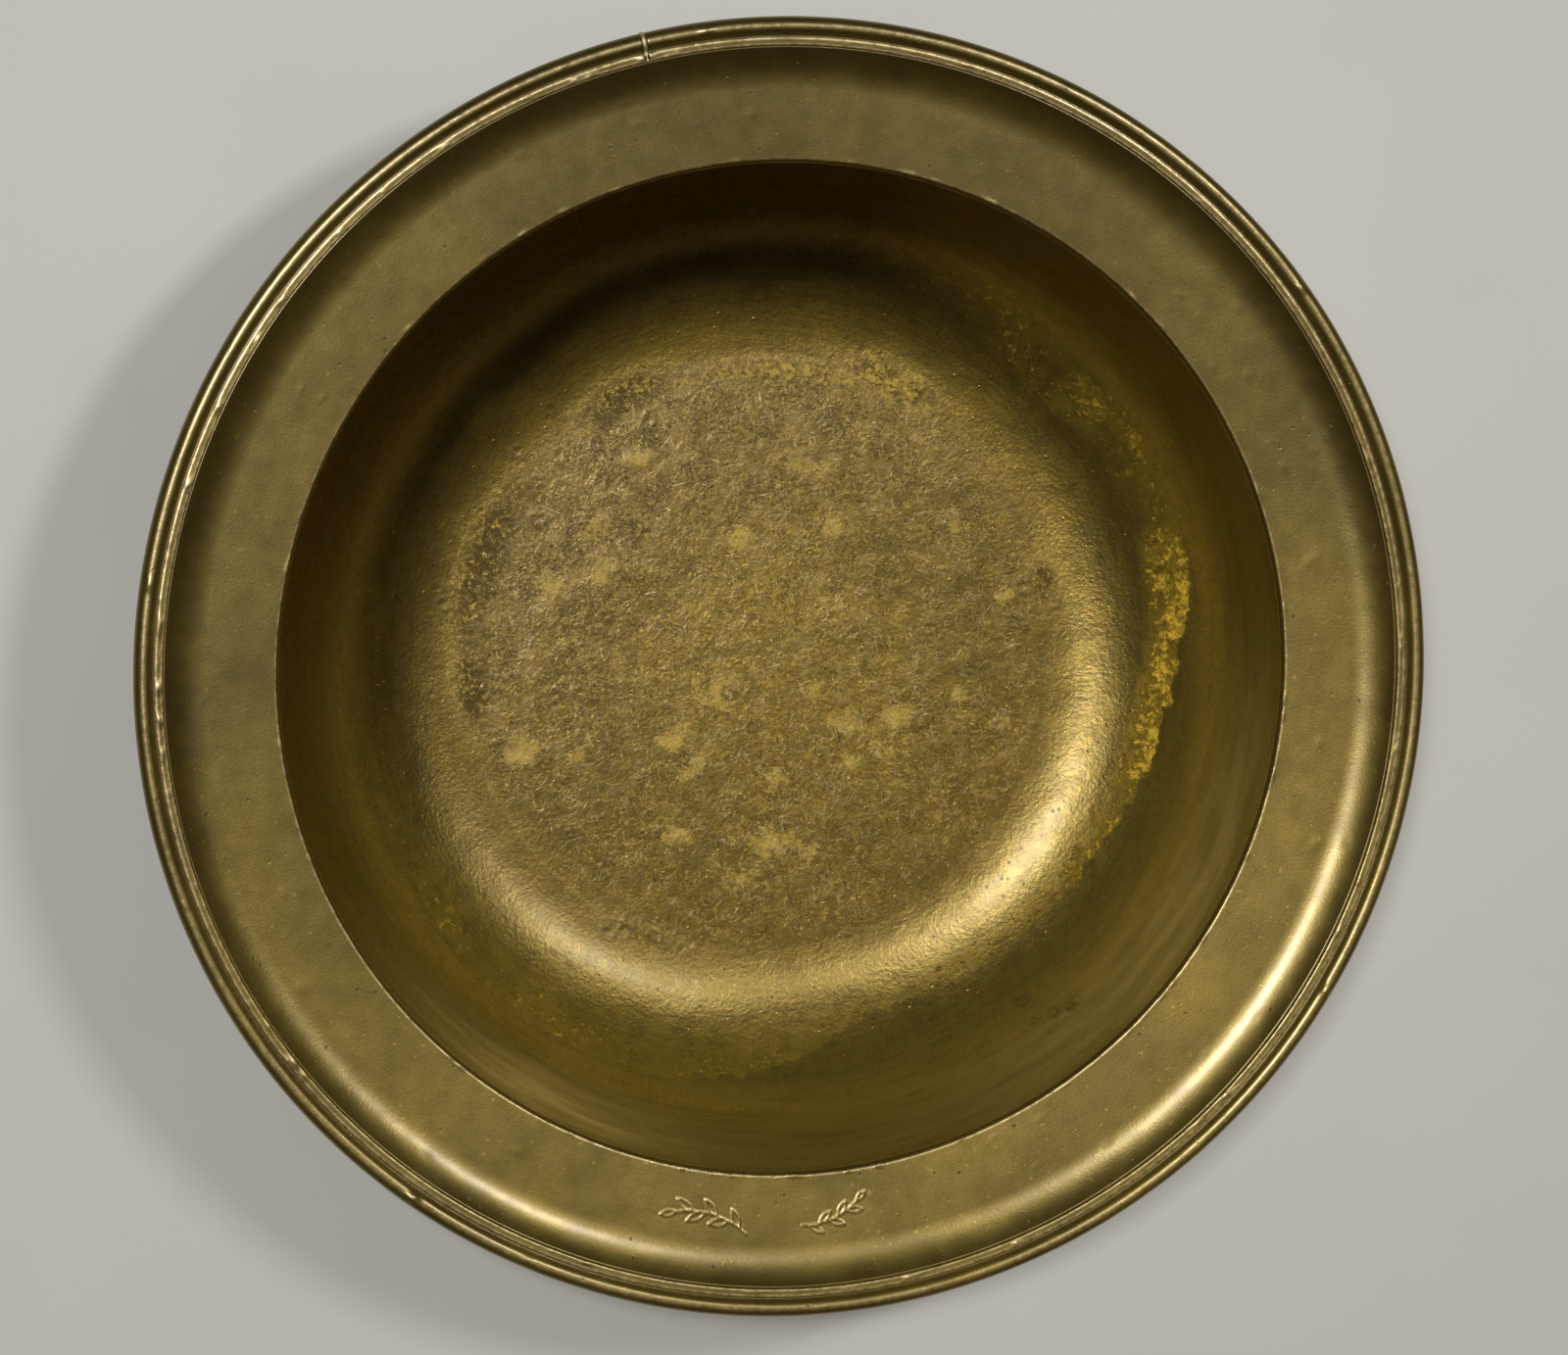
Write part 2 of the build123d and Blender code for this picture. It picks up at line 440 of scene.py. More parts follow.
TARNISH_IOR = 2.0
CRUST_IOR = 1.45
WARM_SHEEN = (1.0, 0.80, 0.38)
POLISH_ROUGHNESS = 0.25
BRUSH_ROTATION = 0.25       # highlights stretch across the turning marks
PEWTER_METALLIC = 0.62      # tarnish hides part of the metal
BRUSHED = 0.3
pewter = (0.215, 0.150, 0.022)
rim_pewter = (0.180, 0.126, 0.017)
pewter_dark = (0.112, 0.078, 0.010)
pewter_grey = (0.125, 0.094, 0.016)
pewter_bright = (0.58, 0.46, 0.24)
wall_olive = (0.330, 0.245, 0.040)
painted_sheen_olive = (0.900, 0.720, 0.240)
brown = (0.230, 0.138, 0.014)
deep_brown = (0.075, 0.046, 0.010)
khaki = (0.500, 0.350, 0.075)
stain = (0.165, 0.112, 0.008)
mustard_dark = (0.200, 0.130, 0.010)
mustard = (0.420, 0.275, 0.018)
mustard_bright = (0.860, 0.565, 0.055)
rust = (0.340, 0.160, 0.010)
soot_and_shade = (0.012, 0.007, 0.002)
rim_shade_pewter = (0.040, 0.028, 0.004)
haze_brown = (0.07, 0.036, 0.006)
solder_dark = (0.20, 0.15, 0.07)
solder_light = (0.40, 0.32, 0.17)


def rim_metal(name):
    """Turned pewter of the flange and edge: satin, speckled, worn bright on its edges, with painted
    shade on the far side of the rim and a painted glint along the lit half of the inner edge.
    """
    n = Nodes(name)
    base = n.colour(n.step(n.noise(26, 3), 0.35, 0.68), pewter_dark, rim_pewter)
    base = n.colour(n.step(n.noise(1.1, 4, 0.7), 0.50, 0.66, 0, 0.55), base, pewter_dark)
    base = n.colour(n.step(n.streaks(30, 0.8), 0.5, 0.75, 0, 0.3), base, pewter_dark)
    pits = n.times(n.step(n.cells(3.4), 0.07, 0.14, 1, 0), n.step(n.noise(9, 2), 0.54, 0.64))
    base = n.colour(pits, base, deep_brown)
    flecks = n.times(n.step(n.noise(1.7, 3, 0.6), 0.66, 0.70), 0.35)
    base = n.colour(flecks, base, khaki)
    # Painted shade: the rim darker on its far side, by azimuth.
    base = n.colour(n.times(n.field("painted_rim_shade"), 0.9), base, rim_shade_pewter)
    # Grime in the engraving, and painted shade in the crease at the ridge and along the arris.
    base = n.colour(n.times(n.field("grime_and_painted_shade"), 0.8), base, deep_brown)
    # Wear on the edges, and a painted glint along the lit half of the inner edge.
    wear_and_glint = n.times(n.field("wear_and_glint"), n.step(n.noise(1.6, 3), 0.35, 0.6, 0.35, 1))
    base = n.colour(wear_and_glint, base, pewter_bright)
    roughness = n.plus(0.31, n.step(n.noise(5, 4), 0.3, 0.7, 0, 0.07), n.times(pits, 0.3))
    grain = n.math("SUBTRACT", n.noise(0.6, 4, 0.65), n.times(pits, 2))
    relief = [(n.noise(9, 2), 0.05), (n.turned(0.35, 3), 0.006), (grain, 0.036)]
    return n.finish(
        base, PEWTER_METALLIC, roughness, relief, TARNISH_IOR, BRUSHED, WARM_SHEEN, polish=0.75
    )


def well_metal(name):
    """Cast pewter of the well: mottled floor, crusts, the mustard line that the water left, painted
    shade on the far floor, the bouge and the far wall, and a painted sheen high on the wall.
    """
    n = Nodes(name)
    on_floor, on_wall = n.field("on_floor"), n.field("on_wall")
    fine = n.noise(0.7, 4, 0.7)
    base = n.colour(n.step(n.noise(9, 4, 0.6), 0.36, 0.62, 0.35, 1), pewter_grey, pewter)
    base = n.colour(n.step(n.noise(3.2, 4, 0.65), 0.44, 0.66, 0, 0.6), base, brown)
    base = n.colour(n.step(fine, 0.50, 0.64, 0, 0.7), base, deep_brown)
    # Darker streaks where the metal was rubbed as it turned.
    rubbing_and_painted_sheen = n.times(n.math("SUBTRACT", 1, on_floor), n.step(n.streaks(26, 1.3), 0.42, 0.68))
    base = n.colour(n.times(rubbing_and_painted_sheen, 0.55), base, pewter_dark)
    base = n.colour(n.times(on_wall, 0.55), base, wall_olive)
    wall_streaks = n.times(on_wall, n.step(n.streaks(34, 3.0), 0.45, 0.7, 0, 0.4))
    base = n.colour(wall_streaks, base, pewter_dark)
    base = n.colour(n.times(n.field("haze"), 0.45), base, haze_brown)
    # Painted sheen: two pale patches high on the wall, where the wall reflects the lit bouge.
    painted_sheen_streaks = n.times(n.field("rubbing_and_painted_sheen"), n.step(n.streaks(30, 4), 0.3, 0.7, 0.5, 1))
    base = n.colour(painted_sheen_streaks, base, painted_sheen_olive)
    # Painted shade: the far half of the floor and parts of the bouge darker.
    base = n.colour(n.times(n.field("painted_far_shade"), 0.85), base, deep_brown)
    # Painted shade high on the far wall, in near-black.
    painted_wall_shade = n.field("painted_wall_shade")
    base = n.colour(painted_wall_shade, base, soot_and_shade)

    specks = n.times(n.step(n.cells(2.3), 0.10, 0.24, 1, 0), n.step(n.noise(7, 3), 0.42, 0.56))
    base = n.colour(n.times(specks, on_floor, 0.75), base, deep_brown)
    ragged = n.math("SUBTRACT", n.noise(3.4, 6, 0.78), 0.5)
    speckle = n.step(n.noise(0.55, 3, 0.7), 0.38, 0.54, 0.35, 1)
    blotch = n.step(n.plus(n.field("blotch"), n.times(ragged, 4.4)), 0.1, 0.8)
    flecks = n.step(n.noise(1.9, 6, 0.75), 0.54, 0.62)
    flecks = n.times(flecks, n.step(n.noise(11, 2), 0.42, 0.58), on_floor, 0.7)
    blotch = n.math("MAXIMUM", blotch, flecks)
    blotch = n.times(blotch, speckle, 0.85)
    base = n.colour(blotch, base, khaki)

    edge_noise = n.times(n.math("SUBTRACT", n.noise(4.5, 5, 0.65), 0.5), 8)
    under_edge = n.step(n.plus(n.field("scum_edge"), edge_noise), 0, 0.9)
    # The mustard line is dimmer in the painted shade.
    lit = n.math("SUBTRACT", 1, n.times(painted_wall_shade, 0.75))
    cover = n.times(n.field("scum_level"), under_edge)
    cloudy = n.step(n.noise(3.6, 5, 0.7), 0.34, 0.6, 0.25, 1)
    film = n.times(cover, cloudy, lit)
    film_colour = n.colour(n.times(n.field("scum_bright"), 0.4), stain, mustard)
    base = n.colour(n.math("MULTIPLY", film, 1.3, clamp=True), base, film_colour)
    crumbs = n.noise(2.0, 6, 0.78)
    over = n.math("SUBTRACT", crumbs, n.math("SUBTRACT", 0.715, n.times(cover, 0.375)))
    scum = n.times(n.step(over, -0.04, 0.06), n.step(cover, 0.02, 0.12), lit)
    scum_colour = n.colour(n.step(n.noise(3.0, 4, 0.6), 0.51, 0.62), mustard, rust)
    glow = n.times(n.step(over, 0.0, 0.1), n.field("scum_bright"))
    scum_colour = n.colour(glow, scum_colour, mustard_bright)
    dark_mustard_patches = n.step(n.noise(2.6, 5, 0.7), 0.40, 0.58, 0.8, 0)
    scum_colour = n.colour(dark_mustard_patches, scum_colour, mustard_dark)
    scum_colour = n.colour(n.step(fine, 0.5, 0.62, 0, 0.7), scum_colour, deep_brown)
    base = n.colour(n.times(scum, 0.92), base, scum_colour)

    crust = n.times(n.field("crust"), n.step(n.noise(1.9, 5, 0.72), 0.40, 0.56))
    paler = n.times(n.field("pale_crust"), 0.19)
    light_bits = n.step(n.plus(n.noise(1.1, 4, 0.7), paler), 0.51, 0.61)
    base = n.colour(crust, base, n.colour(light_bits, deep_brown, khaki))
    base = n.colour(n.field("wart"), base, deep_brown)

    marks = [n.scratches(turn, 0.15, 6, 0.285) for turn in (0.4, 1.35, 2.2, 2.9)]
    lines = marks[0]
    for each in marks[1:]:
        lines = n.math("MAXIMUM", lines, each)
    lines = n.times(lines, on_floor)
    base = n.colour(n.times(lines, 0.7), base, pewter_bright)

    dull = n.math("MAXIMUM", n.math("MAXIMUM", scum, crust), n.times(blotch, 0.7))
    dull = n.math("MAXIMUM", dull, n.times(film, 0.8))
    metallic = n.math("SUBTRACT", PEWTER_METALLIC, n.times(dull, 0.6), clamp=True)
    metallic = n.math("MAXIMUM", metallic, painted_wall_shade)
    satin = n.math("SUBTRACT", 0.27, n.times(on_wall, 0.05))
    roughness = n.plus(satin, n.step(n.noise(3, 4), 0.3, 0.7, 0, 0.06), n.times(dull, 0.4))
    worm = n.times(n.worms(2.2, 0.035, 1.5), n.step(n.noise(8, 2), 0.42, 0.56), on_floor)
    pinheads = n.times(n.step(n.cells(3.1), 0.04, 0.15, 1, 0), n.step(n.noise(12, 2), 0.40, 0.55))
    pebbles = n.times(n.noise(1.0, 3, 0.6), n.math("SUBTRACT", 1, n.times(on_wall, 0.7)))
    thick = n.times(n.math("MAXIMUM", scum, crust), crumbs)
    raised = n.plus(
        n.times(worm, 0.6), n.times(thick, 1.2), n.times(blotch, 0.3), n.times(pinheads, 0.55)
    )
    grain = n.math("SUBTRACT", n.plus(pebbles, n.times(fine, 0.6)), n.times(lines, 0.8))
    relief = [(n.noise(6, 3), 0.07), (raised, 0.14), (grain, 0.085)]
    ior = n.blend(dull, TARNISH_IOR, CRUST_IOR)
    polish = n.math("SUBTRACT", 0.26, n.times(dull, 0.6), clamp=True)
    brushed = n.times(on_wall, BRUSHED)
    return n.finish(base, metallic, roughness, relief, ior, brushed, WARM_SHEEN, polish)


def plain_metal(name, base_dark, base_light, grain_size):
    """Foot and solder: dull metal with cloudy colour and a cast grain."""
    n = Nodes(name)
    base = n.colour(n.step(n.noise(9, 4, 0.6), 0.35, 0.65), base_dark, base_light)
    base = n.colour(n.step(n.noise(1.2, 3), 0.58, 0.72, 0, 0.6), base, soot_and_shade)
    wear_and_glint = n.math("MULTIPLY", n.field("wear_and_glint"), n.step(n.noise(2.5, 3), 0.35, 0.6, 0.3, 1))
    base = n.colour(wear_and_glint, base, pewter_bright)
    roughness = n.step(n.noise(4, 3), 0.3, 0.7, 0.38, 0.58)
    relief = [(n.noise(grain_size, 4, 0.6), 0.06), (n.turned(0.5, 3), 0.01)]
    return n.finish(base, 0.7, roughness, relief, TARNISH_IOR)


rim_material = rim_metal("rim_pewter")
well_material = well_metal("well_pewter")
foot_material = plain_metal("foot_pewter", pewter_dark, pewter, 1.5)
solder_material = plain_metal("soft_solder", solder_dark, solder_light, 2.5)

# ---------------------------------------------------------------- well of the bowl
DISC_RINGS = 90
TURNS = 8 * DISC_RINGS
chance = np.random.default_rng(11)


def polar(azimuth_deg, radius):
    """Place on the floor from above, in millimetres."""
    a = math.radians(azimuth_deg)
    return np.array((radius * math.cos(a), radius * math.sin(a)))


def around(azimuth, table):
    """Value at each azimuth, smooth between given (degrees, value) pairs, all the way round."""
    degrees = np.degrees(azimuth) % 360
    at, values = np.array(table, float).T
    order = np.argsort(at % 360)
    return np.interp(degrees, (at % 360)[order], values[order], period=360)


bouge_centre = (floor_radius, floor_top + bouge_radius)
down, wall_side = -math.pi / 2, wall_angle - math.pi / 2
inner_bouge = arc(bouge_centre, bouge_radius, down, wall_side, 0.75)
outer_bouge = arc(bouge_centre, bouge_radius + well_thickness, wall_side, down, 1.5)
floor_steps = floor_radius * np.arange(DISC_RINGS + 1)[:, None] / DISC_RINGS
well_section = np.concatenate((
    np.c_[floor_steps, np.full(DISC_RINGS + 1, floor_top)],
    inner_bouge[1:],
    line((wall_foot, bouge_top), (seat_inner, seat_height), 0.75),
    line((seat_inner, seat_height), (seat_outer, seat_height), 1.1),
    line((seat_outer, seat_height), outer_bouge[0], 1.5),
    outer_bouge,
    np.c_[floor_steps[::-1], np.full(DISC_RINGS + 1, foot_height)],
))
well, points, azimuth, row = turned_shell("bowl_well", well_section, DISC_RINGS)
seat_row = np.flatnonzero(well_section[:, 1] >= seat_height - 0.01)[0]
length = along(well_section)[row]
inside = row < seat_row
radius = np.hypot(points[:, 0], points[:, 1])

# The mustard line: how far up the section it reaches, how far down it fades, and how strong
# and how bright it is, by azimuth.
scum_top = around(azimuth, (
    (-180, 95), (-150, 96), (-130, 100), (-112, 102), (-97, 99), (-85, 93), (-75, 88), (-60, 86),
    (-45, 90), (-30, 91), (-15, 94), (0, 98), (10, 102), (20, 104), (30, 103), (45, 99),
    (60, 103), (75, 104), (84, 103), (112, 104), (130, 98), (150, 99), (165, 97),
))
scum_width = around(azimuth, (
    (-180, 9), (-150, 12), (-125, 19), (-95, 15), (-75, 7), (-45, 7), (-15, 9), (0, 10), (10, 13),
    (30, 13), (60, 15), (84, 12), (130, 10), (165, 12),
))
scum_strength = around(azimuth, (
    (-180, 0.30), (-150, 0.50), (-125, 0.66), (-95, 0.68), (-80, 0.50), (-60, 0.35), (-40, 0.65),
    (-15, 0.90), (10, 1.0), (25, 0.95), (50, 0.65), (75, 0.50), (84, 0.30), (110, 0.30),
    (140, 0.30), (165, 0.35),
))
scum_bright = around(azimuth, (
    (-180, 0), (-150, 0.15), (-100, 0.2), (-70, 0.1), (-20, 0.6), (5, 1), (30, 0.8), (55, 0.35),
    (75, 0.1), (90, 0),
))
below_top = scum_top - length
fade = np.clip(1 - below_top / scum_width, 0, 1) ** 0.5
patchy = 0.72 + 0.60 * fractal(points, 11, 35)
field(well, "scum_edge", np.where(inside, below_top, -9))
field(well, "scum_level", np.clip(inside * scum_strength * fade * patchy, 0, 1))
field(well, "scum_bright", scum_bright)

# Khaki blotches on the floor: (azimuth, radius, half size).
blotches = (
    (100, 27, 6), (33, 21, 4.5), (-37, 25, 5), (-33, 13, 5), (-26, 35, 5), (-36, 37, 4),
    (-52, 32, 4), (-78, 47, 6), (-86, 42, 5.5), (-96, 51, 4), (-117, 45, 5), (-84, 29, 4),
    (77, 44, 4.5), (33, 53, 4), (14, 58, 4), (121, 53, 4), (142, 48, 4.5), (153, 41, 5),
    (160, 52, 4.5), (-138, 27, 4), (-146, 12, 5), (-16, 58, 4), (-12, 47, 4), (-120, 30, 4),
    (60, 33, 4), (-160, 58, 5), (-152, 49, 4),
)
flat = points[:, :2]
blotch = np.full(len(points), -1.0)
warp = np.c_[fractal(points, 7, 13), fractal(points, 7, 17)] * 2.6
for at, out, size in blotches:
    away = np.hypot(*((flat + warp - polar(at, out)) * (1, 1.35)).T)
    blotch = np.maximum(blotch, 1 - away / (size * chance.uniform(0.7, 1.25)))
on_floor = inside * bump(length - floor_radius + 6, 10)
field(well, "blotch", np.where(on_floor > 0.01, blotch, -1))
field(well, "on_floor", on_floor)
field(well, "on_wall", inside * smooth(length, 84, 112))


# Rough crust where the floor turns up; painted shade high on the far wall, on the far half of the
# floor and on the bouge; painted sheen in two patches high on the wall.
def patch(at, spread, out, width):
    """A soft patch about an azimuth, in degrees, and a length along the section."""
    off = degrees_from(azimuth, at)
    return inside * np.exp(-((off / spread) ** 2)) * np.exp(-(((length - out) / width) ** 2))


crust = np.maximum.reduce([
    patch(84, 20, 65, 2.0), patch(64, 9, 69, 4), patch(118, 9, 67, 4), patch(160, 17, 67, 5),
    patch(-175, 8, 66, 4), patch(-113, 8, 69, 2.5) * 0.6, patch(14, 4, 67, 3),
])
field(well, "crust", np.clip(crust * 1.3, 0, 1))
field(well, "pale_crust", patch(84, 22, 65, 1.8) + 0.7 * patch(64, 9, 69, 4))
# Painted shade high on the far wall, by azimuth.
far_wall_shade = around(azimuth, (
    (-180, 0.60), (-150, 0.25), (-120, 0.0), (-30, 0.0), (0, 0.1), (30, 0.35), (60, 0.65),
    (78, 0.88), (100, 0.92), (130, 0.88), (160, 0.75),
)) * smooth(length + 4 * fractal(points, 18, 37), 70, 92)
# Painted shade on the far half of the floor, by azimuth.
painted_far_shade = around(azimuth, (
    (-180, 0.75), (-150, 0.55), (-120, 0.3), (-75, 0.15), (-45, 0.0), (0, 0.25), (30, 0.45),
    (60, 0.6), (90, 0.8), (120, 0.9), (150, 1.0),
)) * smooth(radius, 8, 48)
# Painted shade on the bouge, dimming it where the highlights fall.
bouge_painted_shade = around(azimuth, (
    (-180, 0.45), (-150, 0.70), (-120, 0.70), (-90, 0.45), (-60, 0.60), (-30, 0.50), (0, 0.2),
    (30, 0.0), (100, 0.0), (150, 0.4),
)) * bump(abs(length - 74), 15)
field(well, "painted_far_shade", inside * np.maximum(painted_far_shade * bump(length - 66, 8), bouge_painted_shade))
field(well, "painted_wall_shade", np.clip(inside * far_wall_shade, 0, 0.95))
# Painted sheen: two pale patches high on the wall.
field(well, "rubbing_and_painted_sheen", np.clip(patch(-122, 19, 122, 9) + 0.8 * patch(-36, 30, 121, 10), 0, 1))
field(well, "haze", patch(95, 24, 104, 14) + 0.5 * patch(-178, 14, 86, 8))

# Corrosion warts: a raised dark ring round a small pit. Each is (azimuth, place along the
# section, size).
wart_places = [(a, r, chance.uniform(0.9, 1.9)) for a, r in (
    *((64 + chance.normal() * 8, 69 + chance.normal() * 3) for _ in range(16)),
    *((117 + chance.normal() * 9, 66 + chance.normal() * 4) for _ in range(16)),
    *((160 + chance.normal() * 14, 67 + chance.normal() * 4) for _ in range(34)),
    *((-174 + chance.normal() * 8, 66 + chance.normal() * 3) for _ in range(10)),
    *((-112 + chance.normal() * 9, 69 + chance.normal() * 2) for _ in range(7)),
    *((14 + chance.normal() * 3, 67 + chance.normal() * 3) for _ in range(6)),
    *((chance.uniform(-180, 180), 62 * math.sqrt(chance.uniform())) for _ in range(70)),
    *((-52 + chance.normal() * 2.5, 110 + chance.normal() * 3) for _ in range(6)),
)]
rows_at = along(well_section)
wart_ring, wart_height = np.zeros(len(points)), np.zeros(len(points))
for at, out, size in wart_places:
    centre_radius = np.interp(out, rows_at[:seat_row], well_section[:seat_row, 0])
    centre_height = np.interp(out, rows_at[:seat_row], well_section[:seat_row, 1])
    centre = np.array((*polar(at, centre_radius), centre_height))
    near = np.flatnonzero(inside & (abs(points - centre).max(1) < 2 * size))
    away = np.linalg.norm(points[near] - centre, axis=1) / size
    wall = np.exp(-(((away - 0.75) / 0.28) ** 2))
    wart_ring[near] = np.maximum(wart_ring[near], wall * chance.uniform(0.3, 0.8))
    wart_height[near] += 0.07 * wall - 0.09 * np.exp(-((away / 0.4) ** 2))
field(well, "wart", wart_ring)

# Relief in millimetres: hammered unevenness, floor grain, warts, crust and scum.
relief = 0.10 * fractal(points, 24, 3) + 0.05 * fractal(points, 7, 5)
relief += on_floor * 0.07 * fractal(points, 2.6, 8)
relief += wart_height + crust * 0.20 * (0.5 + fractal(points, 2.4, 21))
scum_here = inside * scum_strength * fade * smooth(below_top, -2, 1)
relief += scum_here * 0.12 * (0.5 + fractal(points, 3, 31))
# No relief where the shell meets the flange and the foot, so the pieces still touch.
calm = inside * smooth(length, 127, 130) + (1 - inside) * bump(abs(radius - 63), 4)
calm = np.maximum(calm, (row >= seat_row) * bump(seat_height - points[:, 2], 1.5))
set_points(well, points + normals(well) * (relief * (1 - calm))[:, None])
stand_for(well, "bowl_body", well_material)

# ---------------------------------------------------------------- rim flange
ARRIS_ROUND = 0.35
wall_way = np.array((math.cos(wall_angle), math.sin(wall_angle)))
flange_way = np.array((math.cos(flange_slope), math.sin(flange_slope)))
arris = np.array((arris_radius, arris_height))
under_cavetto = cavetto_start + flange_thickness * np.array((flange_way[1], -flange_way[0]))
steep = wall_way[1] / wall_way[0]
gentle = flange_way[1] / flange_way[0]
corner_radius = (
    under_cavetto[1] - gentle * under_cavetto[0] - seat_height + steep * seat_outer
) / (steep - gentle)
corner = np.array((corner_radius, seat_height - steep * (seat_outer - corner_radius)))
cut_back = ARRIS_ROUND * math.tan((wall_angle - flange_slope) / 2)
flange_top = (
    line((seat_inner, seat_height), arris - wall_way * cut_back, 0.3),
    tangent_arc(arris - wall_way * cut_back, arris + flange_way * cut_back, wall_way, 0.08),
    line(arris + flange_way * cut_back, cavetto_start, 0.35),
    tangent_arc(cavetto_start, ridge_foot, flange_way, 0.5),
)
ridge_radius = ridge_foot[0]
flange_rest = (
    line(ridge_foot, (ridge_radius, moulding_seat_top), 0.8),
    line((ridge_radius, moulding_seat_top), (moulding_seat_radius, moulding_seat_top), 1.3),
    line((moulding_seat_radius, moulding_seat_top), (moulding_seat_radius, edge_bottom), 1.0),
    line((moulding_seat_radius, edge_bottom), (ridge_radius, edge_bottom), 1.3),
    tangent_arc(under_cavetto, (ridge_radius, edge_bottom), flange_way, 1.2)[::-1],
    line(under_cavetto, corner, 1.5)[1:],
    line(corner, (seat_outer, seat_height), 0.6),
    line((seat_outer, seat_height), (seat_inner, seat_height), 1.2),
)
flange_section = np.concatenate(flange_top + flange_rest)
top_count = sum(map(len, flange_top))


def rim_shade_by_azimuth(azimuth):
    """How much painted shade darkens the rim, by azimuth."""
    return around(azimuth, (
        (-180, 0.6), (-150, 0.1), (-30, 0.0), (0, 0.1), (30, 0.5), (60, 0.6), (90, 0.85),
        (120, 0.75), (150, 0.5),
    ))


# The engraved stretch of the rim has a finer mesh than the rest.
MARKS_FROM, MARKS_TO = math.radians(-110), math.radians(-78)
fine_turn = np.arange(MARKS_FROM, MARKS_TO, 0.0019)
coarse_turn = np.linspace(MARKS_TO, MARKS_FROM + 2 * math.pi, 700, endpoint=False)
flange, points, azimuth = ring("broad_flange", flange_section, np.r_[fine_turn, coarse_turn])
radius = np.hypot(points[:, 0], points[:, 1])
on_top = np.tile(np.arange(len(flange_section)) < top_count, len(fine_turn) + len(coarse_turn))


def leaf(start, direction, size):
    """Outline of one slender pointed leaf from its stalk, as points."""
    t = np.linspace(0, 1, 12)
    side = 0.20 * np.sin(math.pi * t) * (1 - 0.35 * t)
    way = np.array((math.cos(direction), math.sin(direction)))
    across = np.array((-way[1], way[0]))
    there = start + size * (t[:, None] * way + side[:, None] * across)
    back = start + size * (t[::-1, None] * way - side[::-1, None] * across)
    return np.r_[there, back]


def sprig(size, turn):
    """A plain laurel sprig, its leaves on alternate sides, as lines about its middle."""
    t = np.linspace(-1, 1, 25)
    stem = size * np.c_[t, 0.22 * t * t - 0.1]
    lines = [stem]
    for count, at in enumerate(range(3, 23, 4)):
        way = math.radians(34 if count % 2 else -34) + 0.4 * t[at]
        lines.append(leaf(stem[at], way, size * 0.55))
    lines.append(leaf(stem[-1], 0.45, size * 0.45))
    c, s = math.cos(turn), math.sin(turn)
    return [each @ np.array(((c, s), (-s, c))) for each in lines]


def far_from(places, lines):
    """Distance from each place to the nearest of these lines."""
    best = np.full(len(places), 1e9)
    for path in lines:
        for a, b in zip(path, path[1:]):
            ab = b - a
            t = np.clip((places - a) @ ab / max(ab @ ab, 1e-9), 0, 1)
            best = np.minimum(best, np.linalg.norm(places - a - t[:, None] * ab, axis=1))
    return best


# Two sprigs, each (middle, half length, turn), cut 0.14 mm deep with a slight burr beside the line.
sprigs = (((-17.5, -119.0), 8.2, 160), ((8.5, -119.5), 6.6, 22))
marks = [
    each + middle
    for middle, size, turn in sprigs
    for each in sprig(size, math.radians(turn))
]
near_marks = np.flatnonzero(on_top & (points[:, 1] < -108) & (abs(points[:, 0] + 4) < 26))
away = far_from(points[near_marks, :2], marks)
engraving = np.zeros(len(points))
engraving[near_marks] = -0.14 * bump(away, 0.34) + 0.03 * np.exp(-(((away - 0.5) / 0.16) ** 2))
engraved = np.zeros(len(points))
engraved[near_marks] = bump(away, 0.5)

arris_gap = np.linalg.norm(np.c_[radius, points[:, 2]] - arris, axis=1)
at_arris = on_top * bump(arris_gap, 1.0)
nicks = -0.16 * at_arris * smooth(fractal(points, 2.2, 41), 0.25, 0.6)
facing = 0.5 - 0.5 * np.sin(azimuth)        # 1 on the engraved side, 0 opposite
# Wear along the inner edge, with a painted glint that is stronger on the lit, engraved side.
wear_and_glint = bump(arris_gap, 0.5) * (0.25 + 0.75 * facing) * on_top
bared = engraved * (chance.uniform(size=len(points)) > 0.6)
field(flange, "wear_and_glint", np.clip(wear_and_glint + 0.25 * bared, 0, 1))
# Grime in the engraving; grime and painted shade in the crease at the foot of the ridge and by the
# arris, stronger on the far side.
hem = bump(abs(radius - ridge_radius), 3.5) * (0.25 + 0.6 * (1 - facing))
hem = np.maximum(hem, 0.35 * engraved)
hem = np.maximum(hem, 0.3 * bump(radius - arris_radius, 5) * (1 - facing))
field(flange, "grime_and_painted_shade", np.clip(hem, 0, 1))
# Painted shade: the rim darker on its far side.
field(flange, "painted_rim_shade", rim_shade_by_azimuth(azimuth))
relief = on_top * (0.07 * fractal(points, 26, 51) + 0.03 * fractal(points, 8, 52))
PIT_COUNT = 40
pits = np.zeros(len(points))
for _ in range(PIT_COUNT):
    at, out = chance.uniform(-180, 180), chance.uniform(arris_radius + 2, ridge_radius - 3)
    if not -112 < at < -76:
        spot, size = polar(at, out), chance.uniform(0.5, 1.1)
        pits -= 0.07 * np.exp(-((np.hypot(*(points[:, :2] - spot).T) / size) ** 2))
relief += on_top * pits * (radius > arris_radius + 1)
inner_edge = smooth(radius, seat_inner + 0.1, arris_radius)
outer_edge = bump(radius - ridge_radius + 1.5, 1.5)
moved = (relief + engraving) * outer_edge * inner_edge + nicks
set_points(flange, points + normals(flange) * moved[:, None])
stand_for(flange, "rim_flange", rim_material)

